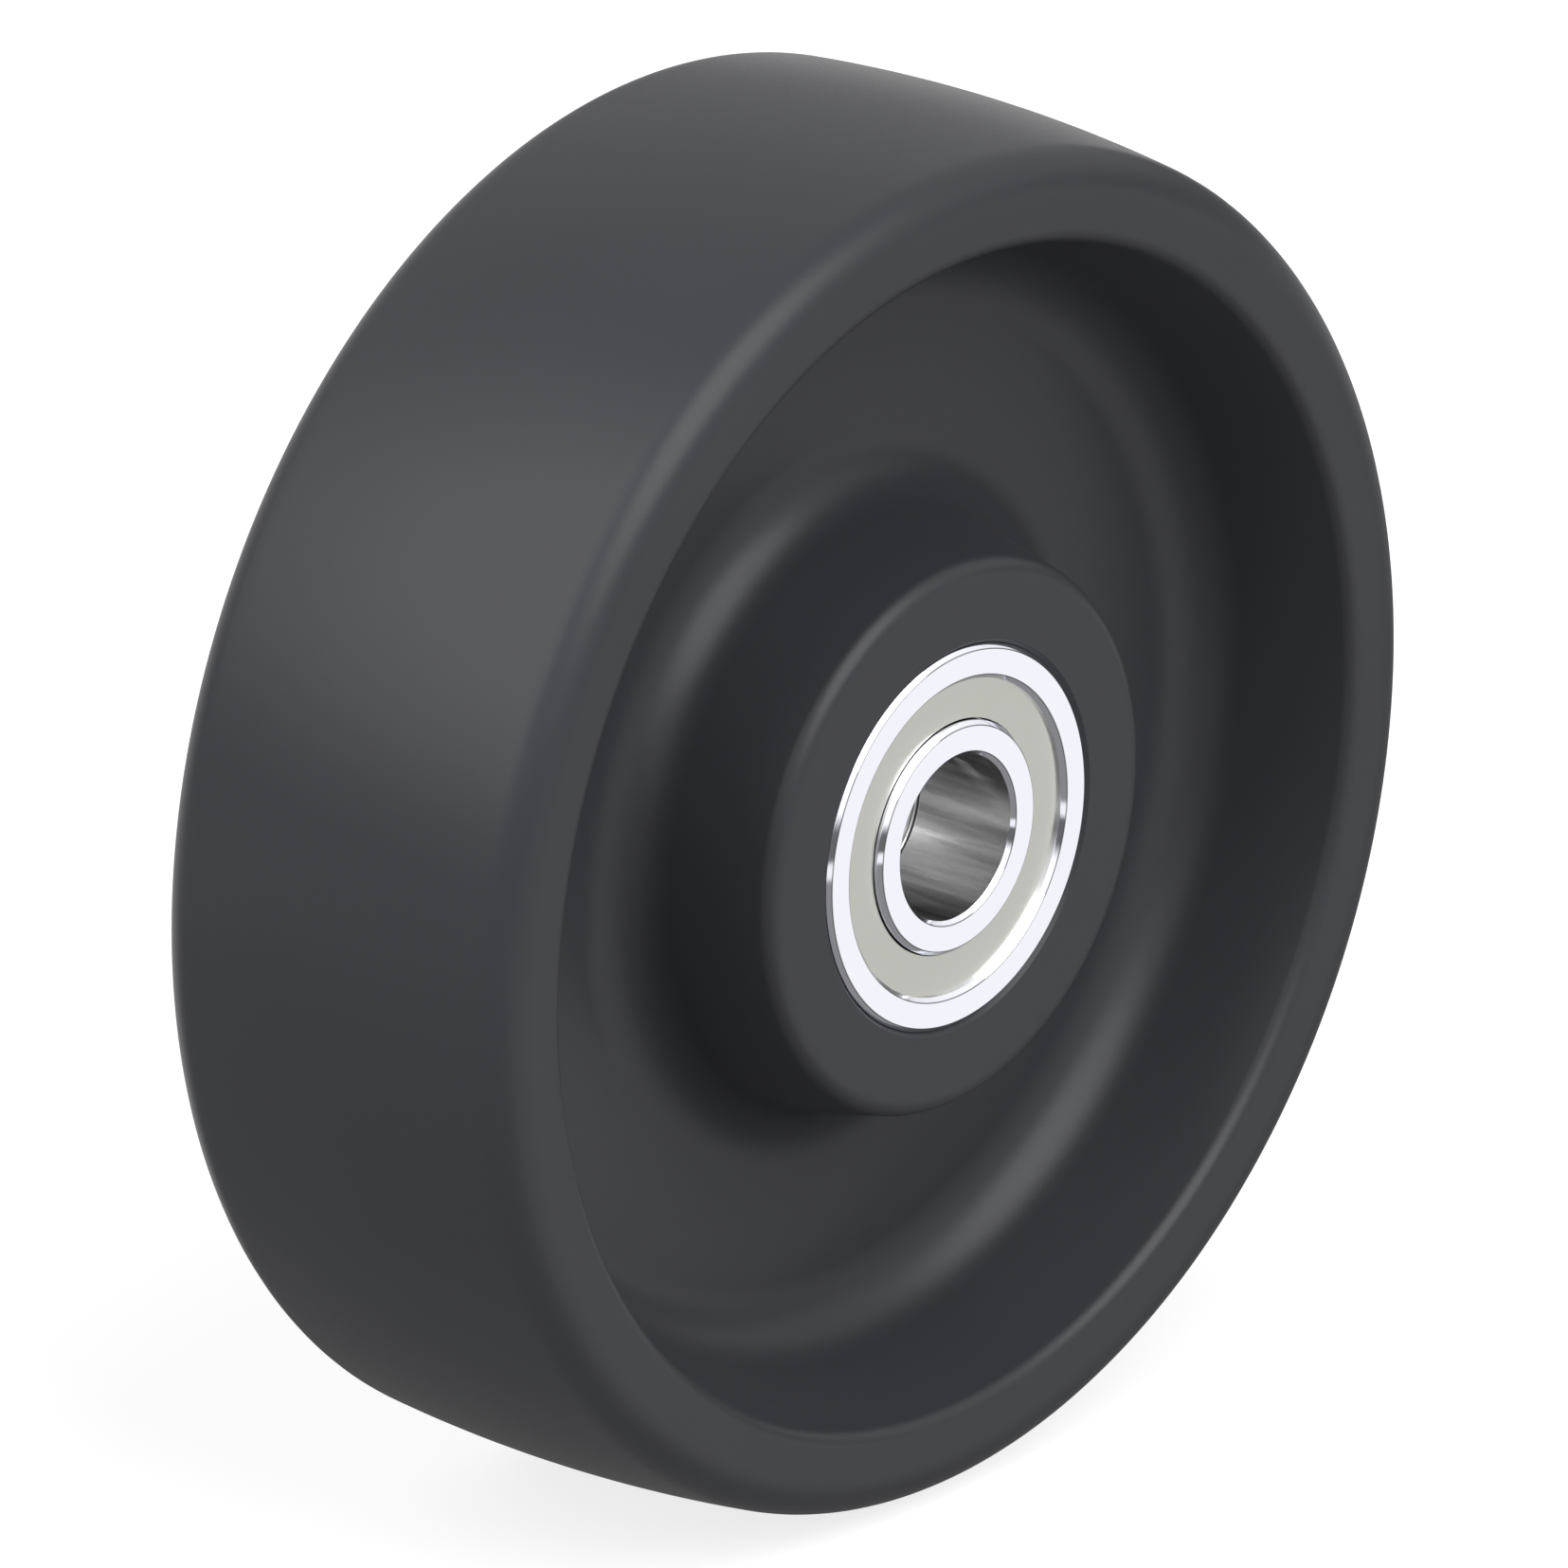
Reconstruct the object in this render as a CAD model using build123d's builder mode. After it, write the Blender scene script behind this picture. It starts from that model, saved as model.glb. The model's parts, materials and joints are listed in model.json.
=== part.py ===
from build123d import *
import os
from math import asin, cos, degrees, radians, sin, tan

# Castor wheel moulded in one piece, turning on two shielded ball bearings
# Sizes are in millimetres. The axle line is Y, and the origin is the centre of the wheel.
# The front of the wheel faces -Y.

# Tread and rim
tread_diameter = 125.0
wheel_width = 40.0
crown_radius = 150.0
shoulder_radius = 4.0
rim_thickness = 8.75
rim_wall_draft = 17.0
rim_lip_radius = 1.5
rim_root_radius = 6.5

# Web and boss
web_thickness = 10.0
boss_wall_thickness = 7.5
boss_wall_draft = 12.5
boss_edge_radius = 1.8
boss_root_radius = 6.0
boss_setback = 0.1
seat_chamfer = 0.45
seat_shoulder_height = 2.5

# Bearing rings
bearing_outer_diameter = 35.0
bearing_bore_diameter = 15.0
bearing_width = 11.0
ring_chamfer = 0.4
land_spacing = 3.8
race_curvature = 0.525

# Balls
ball_diameter = 5.953
ball_count = 8
ball_clearance = 0.05

# Shields
shield_thickness = 0.35
shield_recess = 0.7
shield_groove_depth = 0.35
shield_groove_width = 1.0
shield_running_gap = 0.1
shield_bend_radius = 0.15

# Ribbon cages and their rivets
cage_thickness = 0.4
cage_width = 2.2
cage_pocket_clearance = 0.15
rivet_diameter = 0.8
rivet_head_diameter = 1.5
rivet_head_height = 0.35
rivet_head_rounding = 0.15

# Spacer tube between the inner rings
spacer_wall = 2.4
spacer_bore_clearance = 0.1
spacer_edge_radius = 0.3

# Sizes that follow from the ones above
tread_radius = tread_diameter / 2
half_width = wheel_width / 2
half_web = web_thickness / 2
half_bearing = bearing_width / 2
bearing_centre_offset = half_width - half_bearing
bore_radius = bearing_bore_diameter / 2
seat_radius = bearing_outer_diameter / 2
seat_floor = half_width - bearing_width
boss_face = half_width - boss_setback
boss_radius = seat_radius + boss_wall_thickness
boss_foot_radius = boss_radius + (boss_face - half_web) * tan(radians(boss_wall_draft))
rim_mouth_radius = tread_radius - rim_thickness
rim_foot_radius = rim_mouth_radius - (half_width - half_web) * tan(radians(rim_wall_draft))

ball_radius = ball_diameter / 2
pitch_radius = (bore_radius + seat_radius) / 2
race_radius = race_curvature * ball_diameter
race_centre_shift = race_radius - ball_radius - ball_clearance
inner_land_radius = pitch_radius - land_spacing / 2
outer_land_radius = pitch_radius + land_spacing / 2

shield_face = half_bearing - shield_recess
shield_outer_radius = outer_land_radius + shield_groove_depth
shield_inner_radius = inner_land_radius + shield_running_gap
pocket_radius = ball_radius + cage_pocket_clearance
spacer_bore_radius = bore_radius + spacer_bore_clearance

os.makedirs("parts", exist_ok=True)

# Moulded wheel: tread, rim, web and boss in one piece, with a bearing seat from each side
with BuildPart() as wheel_body:
    rim_lip = (rim_mouth_radius, half_width)
    rim_foot = (rim_foot_radius, half_web)
    boss_foot = (boss_foot_radius, half_web)
    boss_edge = (boss_radius, boss_face)
    with BuildSketch(Plane.XY) as wheel_section:
        with BuildLine():
            crown = CenterArc(
                center=(tread_radius - crown_radius, 0),
                radius=crown_radius,
                start_angle=0,
                arc_size=degrees(asin(half_width / crown_radius)),
            )
            Polyline(
                crown @ 1,
                rim_lip,
                rim_foot,
                boss_foot,
                boss_edge,
                (seat_radius + seat_chamfer, boss_face),
                (seat_radius, boss_face - seat_chamfer),
                (seat_radius, seat_floor),
                (seat_radius - seat_shoulder_height, seat_floor),
                (seat_radius - seat_shoulder_height, 0),
                crown @ 0,
            )
        make_face()
        for corner, radius in (
            (crown @ 1, shoulder_radius),
            (rim_lip, rim_lip_radius),
            (rim_foot, rim_root_radius),
            (boss_foot, boss_root_radius),
            (boss_edge, boss_edge_radius),
        ):
            fillet(wheel_section.vertices().sort_by_distance(corner)[0], radius)
        mirror(about=Plane.XZ)
    revolve(axis=Axis.Y)
wheel_body.part.label = "wheel_body"
export_step(wheel_body.part, "parts/wheel_body.step")

# Spacer tube, held between the two inner rings
with BuildPart() as spacer_tube:
    with BuildSketch(Plane.XY) as spacer_section:
        with Locations((spacer_bore_radius + spacer_wall / 2, 0)):
            Rectangle(spacer_wall, 2 * seat_floor)
        fillet(spacer_section.vertices(), spacer_edge_radius)
    revolve(axis=Axis.Y)
spacer_tube.part.label = "spacer_tube"
export_step(spacer_tube.part, "parts/spacer_tube.step")

# The same bearing in each seat; side is the direction of its outer face along Y
for end, side in (("front", -1), ("rear", 1)):
    bearing_centre = side * bearing_centre_offset
    section_plane = Plane(origin=(0, bearing_centre, 0))

    # Outer ring: ball race and two grooves that hold the shields
    with BuildPart() as outer_ring:
        with BuildSketch(section_plane) as outer_section:
            with Locations(((outer_land_radius + seat_radius) / 2, 0)):
                Rectangle(seat_radius - outer_land_radius, bearing_width)
            chamfer(outer_section.vertices(), ring_chamfer)
            with Locations((pitch_radius - race_centre_shift, 0)):
                Circle(race_radius, mode=Mode.SUBTRACT)
            groove_middle = shield_face - shield_groove_width / 2
            with Locations((outer_land_radius, groove_middle), (outer_land_radius, -groove_middle)):
                Rectangle(2 * shield_groove_depth, shield_groove_width, mode=Mode.SUBTRACT)
        revolve(axis=Axis.Y)
    outer_ring.part.label = f"{end}_outer_ring"
    export_step(outer_ring.part, f"parts/{end}_outer_ring.step")

    # Inner ring: axle bore and ball race
    with BuildPart() as inner_ring:
        with BuildSketch(section_plane) as inner_section:
            with Locations(((bore_radius + inner_land_radius) / 2, 0)):
                Rectangle(inner_land_radius - bore_radius, bearing_width)
            chamfer(inner_section.vertices(), ring_chamfer)
            with Locations((pitch_radius + race_centre_shift, 0)):
                Circle(race_radius, mode=Mode.SUBTRACT)
        revolve(axis=Axis.Y)
    inner_ring.part.label = f"{end}_inner_ring"
    export_step(inner_ring.part, f"parts/{end}_inner_ring.step")

    # Shields and cage halves come in pairs; facing is the direction along Y that each looks to
    for place, facing in (("outer", side), ("inner", -side)):
        face = facing * shield_face
        back = facing * (shield_face - shield_thickness)
        rim_end = facing * (shield_face - shield_groove_width)
        rim_inner_radius = shield_outer_radius - shield_thickness

        # Shield: pressed steel disc with its rim bent back into the groove
        with BuildPart() as shield:
            with BuildSketch(section_plane) as shield_section:
                with BuildLine():
                    Polyline(
                        (shield_inner_radius, face),
                        (shield_outer_radius, face),
                        (shield_outer_radius, rim_end),
                        (rim_inner_radius, rim_end),
                        (rim_inner_radius, back),
                        (shield_inner_radius, back),
                        close=True,
                    )
                make_face()
                bend = shield_section.vertices().sort_by_distance((rim_inner_radius, back))[0]
                fillet(bend, shield_bend_radius)
            revolve(axis=Axis.Y)
        shield.part.label = f"{end}_{place}_shield"
        export_step(shield.part, f"parts/{end}_{place}_shield.step")

        # Cage half: a flat ribbon that swells into a pocket over each ball
        cage_plane = Plane(origin=(0, bearing_centre, 0), x_dir=(1, 0, 0), z_dir=(0, facing, 0))
        with BuildPart(cage_plane) as cage_half:
            with BuildSketch(cage_plane) as ribbon:
                Circle(pitch_radius + cage_width / 2)
                Circle(pitch_radius - cage_width / 2, mode=Mode.SUBTRACT)
            extrude(amount=cage_thickness)
            with PolarLocations(pitch_radius, ball_count):
                Sphere(pocket_radius + cage_thickness)
            extrude(ribbon.sketch, amount=pocket_radius + 2 * cage_thickness, mode=Mode.INTERSECT)
            with PolarLocations(pitch_radius, ball_count):
                Sphere(pocket_radius, mode=Mode.SUBTRACT)
            with PolarLocations(pitch_radius, ball_count, start_angle=180 / ball_count):
                Cylinder(rivet_diameter / 2, 4 * cage_thickness, mode=Mode.SUBTRACT)
        cage_half.part.label = f"{end}_cage_{place}_half"
        export_step(cage_half.part, f"parts/{end}_cage_{place}_half.step")

    # Rivets that clamp the two cage halves between the pockets
    with BuildPart(Plane(origin=(0, bearing_centre, 0), x_dir=(1, 0, 0), z_dir=(0, 1, 0))) as rivets:
        head_centre = cage_thickness + rivet_head_height / 2
        with PolarLocations(pitch_radius, ball_count, start_angle=180 / ball_count):
            with Locations((0, 0, head_centre), (0, 0, -head_centre)):
                Cylinder(rivet_head_diameter / 2, rivet_head_height)
        fillet(rivets.edges().filter_by(GeomType.CIRCLE).group_by(Axis.Y)[-1], rivet_head_rounding)
        fillet(rivets.edges().filter_by(GeomType.CIRCLE).group_by(Axis.Y)[0], rivet_head_rounding)
        with PolarLocations(pitch_radius, ball_count, start_angle=180 / ball_count):
            Cylinder(rivet_diameter / 2, 2 * cage_thickness)
    rivets.part.label = f"{end}_cage_rivets"
    export_step(rivets.part, f"parts/{end}_cage_rivets.step")

    # Balls, evenly spaced on the pitch circle
    for number in range(ball_count):
        angle = radians(360 / ball_count * number)
        ball_centre = (pitch_radius * cos(angle), bearing_centre, pitch_radius * sin(angle))
        with BuildPart() as ball:
            with Locations(ball_centre):
                Sphere(ball_radius)
        ball.part.label = f"{end}_ball_{number + 1}"
        export_step(ball.part, f"parts/{end}_ball_{number + 1}.step")
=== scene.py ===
"""A castor wheel moulded in one piece, on two shielded ball bearings, in a plain studio."""

import json
import logging
import math
from collections.abc import Mapping, Sequence
from dataclasses import dataclass, replace
from enum import Enum

import bmesh
import bpy
from mathutils import Matrix, Vector


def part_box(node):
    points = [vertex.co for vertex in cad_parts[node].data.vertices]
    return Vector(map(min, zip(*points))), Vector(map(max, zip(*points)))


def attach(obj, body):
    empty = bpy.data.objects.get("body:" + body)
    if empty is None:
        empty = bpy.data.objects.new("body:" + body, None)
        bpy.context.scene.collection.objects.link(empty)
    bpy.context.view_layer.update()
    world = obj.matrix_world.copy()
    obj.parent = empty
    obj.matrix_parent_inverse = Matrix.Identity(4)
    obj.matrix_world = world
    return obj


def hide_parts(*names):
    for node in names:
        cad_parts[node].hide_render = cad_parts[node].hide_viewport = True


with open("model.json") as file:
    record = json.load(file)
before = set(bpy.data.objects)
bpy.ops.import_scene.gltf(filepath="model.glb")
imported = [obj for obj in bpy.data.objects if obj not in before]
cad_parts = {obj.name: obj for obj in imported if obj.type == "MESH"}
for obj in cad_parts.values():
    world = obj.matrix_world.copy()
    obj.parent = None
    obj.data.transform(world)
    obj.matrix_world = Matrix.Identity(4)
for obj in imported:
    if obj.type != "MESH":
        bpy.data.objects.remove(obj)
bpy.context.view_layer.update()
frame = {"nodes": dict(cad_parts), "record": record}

LOG = logging.getLogger("castor_wheel")

Material = bpy.types.Material
Mesh = bpy.types.Mesh
Node = bpy.types.Node
NodeTree = bpy.types.NodeTree
Socket = bpy.types.NodeSocket

Colour = tuple[float, float, float]
Direction = tuple[float, float, float]
Point = tuple[float, float]
Span = tuple[float, float]
Signal = Socket | float | int | tuple

# The finest pieces are a few hundredths of a millimetre, so doubles are merged well below that.
MERGE_DISTANCE = 1e-6
SHARP_ANGLE = math.radians(40)
# How many steps go round a turned piece that names no number of its own.
STEPS_ROUND = 256


class Label(Enum):
    """A choice whose name is a part of its pieces' names."""

    @property
    def label(self) -> str:
        """The name in lower case."""
        return self.name.lower()


class End(Label):
    """The two ends of the hub, each by the way its outer face looks along Y."""

    FRONT = -1
    REAR = 1


class Place(Label):
    """The two sides of a bearing: away from the wheel's middle, or towards it."""

    OUTER = 1
    INNER = -1


class Body(Enum):
    """The bodies that move apart. The balls' bodies are named after their nodes."""

    AXLE_STACK = "axle_stack"
    WHEEL = "wheel"
    FRONT_CAGE = "front_cage"
    REAR_CAGE = "rear_cage"


class Slot(Enum):
    """The record's material slots."""

    POLYAMIDE = "polyamide"
    RING_STEEL = "ring_steel"
    BALL_STEEL = "ball_steel"
    SHIELD_STEEL = "shield_steel"
    CAGE_STEEL = "cage_steel"
    SPACER_STEEL = "spacer_steel"


# Node trees


class Graph:
    """Adds nodes to one tree and wires them."""

    COLUMN_WIDTH = 190
    NOISE_MIDDLE = 0.5
    SOCKET_TYPES = {float: "Float", int: "Int", tuple: "Color"}

    def __init__(self, tree: NodeTree) -> None:
        """Keeps the tree that the nodes go into.

        Args:
            tree: A shader or geometry node tree.
        """
        self.tree = tree
        self.column = 0
        self.entry: Node | None = None
        self.exit: Node | None = None

    @classmethod
    def within(cls, owner: Material | bpy.types.World) -> "Graph":
        """Clears the nodes of a material or a world.

        Args:
            owner: What the nodes belong to.

        Returns:
            A graph that holds its empty tree.
        """
        owner.use_nodes = True
        owner.node_tree.nodes.clear()
        return cls(owner.node_tree)

    @classmethod
    def group(
        cls,
        name: str,
        inputs: Mapping[str, object],
        outputs: Mapping[str, object],
        kind: str = "ShaderNodeTree",
    ) -> "Graph":
        """Makes an empty node group with sockets on the outside.

        Args:
            name: The group's name.
            inputs: The sockets on the left, by name, each with what it holds when nothing is
                set, or with the short name of its type.
            outputs: The sockets on the right, in the same way.
            kind: ShaderNodeTree or GeometryNodeTree.

        Returns:
            A graph that holds the new group, with its input and output nodes in place.
        """
        tree = bpy.data.node_groups.new(name, kind)
        for sockets, direction in ((inputs, "INPUT"), (outputs, "OUTPUT")):
            for label, value in sockets.items():
                is_type = isinstance(value, str)
                short = value if is_type else cls.SOCKET_TYPES[type(value)]
                socket = tree.interface.new_socket(
                    name=label, in_out=direction, socket_type=f"NodeSocket{short}"
                )
                if not is_type:
                    socket.default_value = value
        graph = cls(tree)
        graph.entry = graph.node("NodeGroupInput")
        graph.exit = graph.node("NodeGroupOutput")
        return graph

    def node(
        self, kind: str, wired: Mapping[str | int, Signal] | None = None, **settings: object
    ) -> Node:
        """Adds one node.

        Args:
            kind: The node's type.
            wired: What goes into each input, by name or number.
            settings: The node's own options.

        Returns:
            The new node.
        """
        made = self.tree.nodes.new(kind)
        made.location = (self.COLUMN_WIDTH * self.column, 0)
        self.column += 1
        for option, value in settings.items():
            setattr(made, option, value)
        self.wire(made, wired or {})
        return made

    def wire(self, node: Node, wired: Mapping[str | int, Signal]) -> None:
        """Links or sets some of a node's inputs.

        Args:
            node: The node.
            wired: What goes into each input, by name or number. A socket is linked, and
                anything else is set.
        """
        for key, value in wired.items():
            if isinstance(value, Socket):
                self.tree.links.new(value, node.inputs[key])
            else:
                node.inputs[key].default_value = value

    def out(
        self, kind: str, wired: Mapping[str | int, Signal] | None = None, **settings: object
    ) -> Socket:
        """Adds one node and gives its first output."""
        return self.node(kind, wired, **settings).outputs[0]

    def math(self, operation: str, first: Signal, second: Signal = 0.0) -> Socket:
        """Adds a sum of one or two numbers."""
        return self.out("ShaderNodeMath", {0: first, 1: second}, operation=operation)

    def fade(self, value: Signal, across: Span, levels: Span) -> Socket:
        """Adds a smooth passage from one level to another.

        Args:
            value: The number that it follows.
            across: Where the passage starts and where it ends.
            levels: The level before it and the level after it.

        Returns:
            The level's socket.
        """
        ends = dict(zip(("From Min", "From Max", "To Min", "To Max"), (*across, *levels)))
        wired = {"Value": value, **ends}
        return self.out("ShaderNodeMapRange", wired, interpolation_type="SMOOTHSTEP")

    def noise(self, place: Signal, scale: Signal, detail: Signal) -> Socket:
        """Adds soft noise, most of it near a half."""
        return self.out("ShaderNodeTexNoise", {"Vector": place, "Scale": scale, "Detail": detail})

    def stray(self, noise: Signal, amount: Signal) -> Socket:
        """Adds how far a noise lies to either side of its middle, times an amount."""
        return self.math("MULTIPLY", self.math("SUBTRACT", noise, self.NOISE_MIDDLE), amount)

    def grey(self, level: Signal) -> Socket:
        """Adds a grey."""
        return self.out("ShaderNodeCombineColor", {0: level, 1: level, 2: level})

    def polar(self, radius: Signal, along: Signal, angle: Signal) -> Socket:
        """Adds a point that is placed from the axle line.

        Args:
            radius: Its distance from the axle line.
            along: Its place along that line.
            angle: The angle round it, from +X towards +Z.

        Returns:
            The point's socket.
        """
        x = self.math("MULTIPLY", radius, self.math("COSINE", angle))
        z = self.math("MULTIPLY", radius, self.math("SINE", angle))
        return self.out("ShaderNodeCombineXYZ", {"X": x, "Y": along, "Z": z})

    def use(self, group: "Graph", wired: Mapping[str, Signal]) -> Node:
        """Places a shader group in this tree."""
        return self.node("ShaderNodeGroup", wired=wired, node_tree=group.tree)


# Sections: outlines in the half plane of radius and place along the axle


@dataclass(frozen=True)
class Corner:
    """A corner of a turned section, in metres.

    Attributes:
        radius: Its distance from the axle line.
        along: Its place along the axle line.
        rounding: The radius that it is rounded to, or 0 where it stays as it is.
        bevel: How far a flat bevel reaches along both its sides, or 0 where it has none.
    """

    radius: float
    along: float
    rounding: float = 0.0
    bevel: float = 0.0

    @property
    def spot(self) -> Vector:
        """Its place in the section's plane."""
        return Vector((self.radius, self.along))


@dataclass
class Section:
    """The outline that a turned piece is spun from.

    Attributes:
        points: The outline's points, each a radius and a place along the axle line.
        closed: Whether the last point is joined to the first.
    """

    points: list[Point]
    closed: bool = True

    ARC_STEP = math.radians(7.5)
    EDGE_SUPPORT = 0.00012

    @classmethod
    def arc(
        cls, centre: Point, radius: float, start: float, end: float, steps: int = 0
    ) -> list[Point]:
        """Works out points along an arc.

        Args:
            centre: The arc's centre.
            radius: Its radius.
            start: Where it starts, in radians from the outward direction.
            end: Where it ends.
            steps: How many steps it has, or 0 for steps of the usual angle.

        Returns:
            The points, both ends included.
        """
        steps = steps or max(2, math.ceil(abs(end - start) / cls.ARC_STEP))
        angles = [start + (end - start) * step / steps for step in range(steps + 1)]
        x, y = centre
        return [(x + radius * math.cos(a), y + radius * math.sin(a)) for a in angles]

    @staticmethod
    def bevelled(corners: Sequence[Corner]) -> list[Corner]:
        """Cuts a bevel across each corner that has one.

        Args:
            corners: The outline's corners in order.

        Returns:
            The corners, two in place of each one that was cut off.
        """
        cut: list[Corner] = []
        for index, corner in enumerate(corners):
            if corner.bevel == 0:
                cut.append(corner)
                continue
            for other in (corners[index - 1], corners[(index + 1) % len(corners)]):
                spot = corner.spot + (other.spot - corner.spot).normalized() * corner.bevel
                cut.append(Corner(spot.x, spot.y, corner.rounding))
        return cut

    @classmethod
    def rounded(cls, corners: Sequence[Corner], closed: bool = True) -> "Section":
        """Rounds the corners of an outline, and keeps its flats flat in smooth shading.

        Args:
            corners: The outline's corners in order.
            closed: Whether the last corner is joined to the first.

        Returns:
            The section.
        """
        points: list[Point] = []
        corners = cls.bevelled(corners)
        for index, corner in enumerate(corners):
            here = corner.spot
            if corner.rounding == 0:
                points.append((here.x, here.y))
                continue
            back = (corners[index - 1].spot - here).normalized()
            ahead = (corners[(index + 1) % len(corners)].spot - here).normalized()
            half_angle = back.angle(ahead) / 2
            reach = corner.rounding / math.tan(half_angle)
            to_centre = corner.rounding / math.sin(half_angle)
            centre = here + (back + ahead).normalized() * to_centre
            start = here + back * reach - centre
            turn = start.angle_signed(here + ahead * reach - centre)
            first = math.atan2(start.y, start.x)
            flat_before = here + back * (reach + cls.EDGE_SUPPORT)
            flat_after = here + ahead * (reach + cls.EDGE_SUPPORT)
            points.append((flat_before.x, flat_before.y))
            points += cls.arc((centre.x, centre.y), corner.rounding, first, first - turn)
            points.append((flat_after.x, flat_after.y))
        return cls(points, closed)

    @classmethod
    def symmetric(
        cls, half: Sequence[Corner], middle: Sequence[Corner] = (), closed: bool = True
    ) -> "Section":
        """Rounds an outline whose two halves mirror each other about its middle plane.

        Args:
            half: The corners of the half with higher places along the axle. A corner on the
                middle plane is used once.
            middle: The corners that lead from the last of them to its mirror image.
            closed: Whether the last corner is joined to the first.

        Returns:
            The whole section.
        """
        other = [replace(corner, along=-corner.along) for corner in reversed(half) if corner.along]
        return cls.rounded([*half, *middle, *other], closed)

    def moved(self, along: float, facing: int = 1) -> "Section":
        """Moves the outline along the axle line, and turns it end for end where facing is -1."""
        points = [(radius, along + facing * place) for radius, place in self.points]
        return Section(points, self.closed)


# Geometry trees: what is turned, and what is set round the bearing's circle


class Workshop:
    """Makes meshes with geometry nodes and keeps them as plain meshes."""

    def __init__(self) -> None:
        """Builds the two trees."""
        self.lathe = self._lathe_tree()
        self.circle = self._circle_tree()

    @staticmethod
    def _lathe_tree() -> NodeTree:
        """Builds the tree that spins a row of points round the axle line.

        Returns:
            The tree. Its grid has a row for each point of the section and a column for each
            step round.
        """
        graph = Graph.group(
            "turned_on_axle_line",
            {"Section": "Geometry", "Steps Round": STEPS_ROUND, "Material": "Material"},
            {"Mesh": "Geometry"},
            "GeometryNodeTree",
        )
        section, steps, material = graph.entry.outputs[:3]
        rows = graph.out("GeometryNodeAttributeDomainSize", {"Geometry": section})
        columns = graph.math("ADD", steps, 1)
        grid = graph.out("GeometryNodeMeshGrid", {"Vertices X": rows, "Vertices Y": columns})
        index = graph.out("GeometryNodeInputIndex")
        # Half a place further on, so that rounding can't put a point in the row before its own.
        row = graph.math("FLOOR", graph.math("DIVIDE", graph.math("ADD", index, 0.5), columns))
        column = graph.math("SUBTRACT", index, graph.math("MULTIPLY", row, columns))
        angle = graph.math("MULTIPLY", graph.math("DIVIDE", column, steps), math.tau)
        place = graph.out("GeometryNodeInputPosition")
        sample = {"Geometry": section, "Value": place, "Index": row}
        station = graph.out("GeometryNodeSampleIndex", sample, data_type="FLOAT_VECTOR")
        radius, along, _ = graph.node("ShaderNodeSeparateXYZ", {0: station}).outputs[:3]
        spot = graph.polar(radius, along, angle)
        spun = graph.out("GeometryNodeSetPosition", {"Geometry": grid, "Position": spot})
        merge = {"Geometry": spun, "Distance": MERGE_DISTANCE}
        joined = graph.out("GeometryNodeMergeByDistance", merge)
        smooth = graph.out("GeometryNodeSetShadeSmooth", {"Geometry": joined})
        real = graph.out("GeometryNodeRealizeInstances", {"Geometry": smooth})
        dressed = graph.out("GeometryNodeSetMaterial", {"Geometry": real, "Material": material})
        graph.wire(graph.exit, {0: dressed})
        return graph.tree

    @staticmethod
    def _circle_tree() -> NodeTree:
        """Builds the tree that sets copies of one shape at even places round the axle line.

        Returns:
            The tree. First Place counts places from +X towards +Z, and may lie between two.
        """
        graph = Graph.group(
            "set_round_axle_line",
            {
                "Shape": "Geometry",
                "Circle Radius": 0.0125,
                "Along Axle": 0.0,
                "Places": 8,
                "First Place": 0.0,
                "Copies": 1,
                "Material": "Material",
            },
            {"Mesh": "Geometry"},
            "GeometryNodeTree",
        )
        shape, radius, along, places, first, copies, material = graph.entry.outputs[:7]
        index = graph.out("GeometryNodeInputIndex")
        share = graph.math("DIVIDE", graph.math("ADD", index, first), places)
        spot = graph.polar(radius, along, graph.math("MULTIPLY", share, math.tau))
        points = graph.out("GeometryNodePoints", {"Count": copies, "Position": spot})
        set_out = graph.out("GeometryNodeInstanceOnPoints", {"Points": points, "Instance": shape})
        real = graph.out("GeometryNodeRealizeInstances", {"Geometry": set_out})
        dressed = graph.out("GeometryNodeSetMaterial", {"Geometry": real, "Material": material})
        graph.wire(graph.exit, {0: dressed})
        return graph.tree

    @staticmethod
    def _grow(name: str, start: Mesh, tree: NodeTree, values: Mapping[str, object]) -> Mesh:
        """Runs a tree once and keeps what it makes.

        Args:
            name: The name of the mesh that is made.
            start: The mesh that the tree starts from.
            tree: The geometry tree.
            values: What its inputs are set to, by name.

        Returns:
            The plain mesh, with its faces pointing outwards and its hard edges marked.
        """
        host = bpy.data.objects.new(f"{name}_host", start)
        bpy.context.scene.collection.objects.link(host)
        modifier = host.modifiers.new(tree.name, "NODES")
        modifier.node_group = tree
        for item in tree.interface.items_tree:
            if item.in_out == "INPUT" and item.name in values:
                modifier[item.identifier] = values[item.name]
        depsgraph = bpy.context.evaluated_depsgraph_get()
        grown = host.evaluated_get(depsgraph)
        mesh = bpy.data.meshes.new_from_object(grown, depsgraph=depsgraph)
        host.modifiers.remove(modifier)
        bpy.data.objects.remove(host)
        mesh.name = name
        work = bmesh.new()
        work.from_mesh(mesh)
        bmesh.ops.recalc_face_normals(work, faces=work.faces)
        work.to_mesh(mesh)
        work.free()
        mesh.set_sharp_from_angle(angle=SHARP_ANGLE)
        return mesh

    def turn(self, name: str, section: Section, material: Material, steps: int) -> Mesh:
        """Spins a section round the axle line.

        Args:
            name: The mesh's name.
            section: The outline to spin.
            material: Its finish.
            steps: How many steps go round.

        Returns:
            The turned mesh.
        """
        row = section.points + section.points[:1] if section.closed else section.points
        start = bpy.data.meshes.new(f"{name}_section")
        start.from_pydata([(radius, along, 0) for radius, along in row], [], [])
        return self._grow(name, start, self.lathe, {"Steps Round": steps, "Material": material})

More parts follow.
